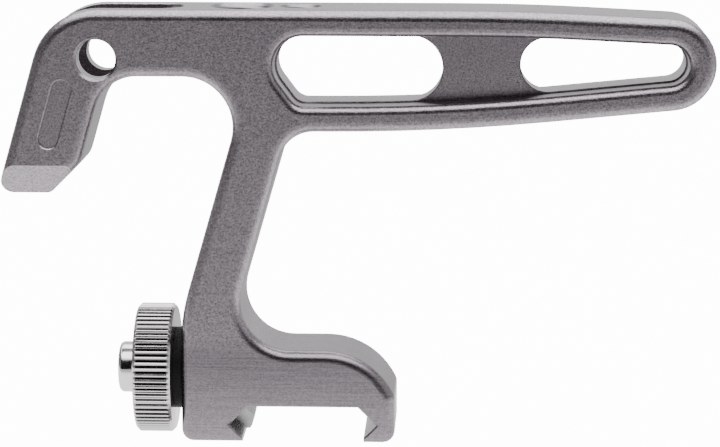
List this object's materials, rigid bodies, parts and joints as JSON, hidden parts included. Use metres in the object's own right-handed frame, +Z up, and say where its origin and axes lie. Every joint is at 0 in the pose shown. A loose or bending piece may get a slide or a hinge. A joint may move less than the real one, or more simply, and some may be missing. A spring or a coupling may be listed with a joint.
{
  "type": "camera top handle",
  "caption": "Machined top handle with a forked front hook, a looped grip with two windows and a rail clamp with a knurled knob.",
  "frame": {"origin": "on the base's underside, in the middle of the rail channel and of the thickness", "axes": "+X from the front hook to the end of the grip, +Y across the handle to its rear side, +Z up"},
  "size_m": [0.1108, 0.0206, 0.0682],
  "materials": {
    "blasted_aluminium": "satin",
    "pin_steel": "satin",
    "washer_polymer": "matte",
    "knob_nickel": "polished",
    "screw_nickel": "polished",
    "plunger_steel": "satin"
  },
  "bodies": {
    "handle": {"handle_body": "blasted_aluminium", "retaining_pin": "pin_steel"},
    "washer": {"friction_washer": "washer_polymer"},
    "knob": {"clamp_knob": "knob_nickel", "clamp_screw": "screw_nickel"},
    "plunger": {"locking_plunger": "plunger_steel"}
  },
  "joints": [
    {"name": "screw_travel", "type": "slide", "parent": "handle", "child": "washer", "axis": [-1, 0, 0], "range_m": [0, 0.0024]},
    {"name": "knob_turn", "type": "hinge", "parent": "washer", "child": "knob", "pos_m": [-0.0236, 0, 0.0104], "axis": [-1, 0, 0], "range_deg": [0, 1103]},
    {"name": "plunger_slide", "type": "slide", "parent": "handle", "child": "plunger", "axis": [-0.7071, 0, 0.7071], "range_m": [0, 0.0033]}
  ],
  "couplings": [
    {"joint": "screw_travel", "follows": "knob_turn", "m_per_rad": 0.00011937},
    {"joint": "plunger_slide", "follows": "knob_turn", "m_per_rad": 0.00016881}
  ]
}
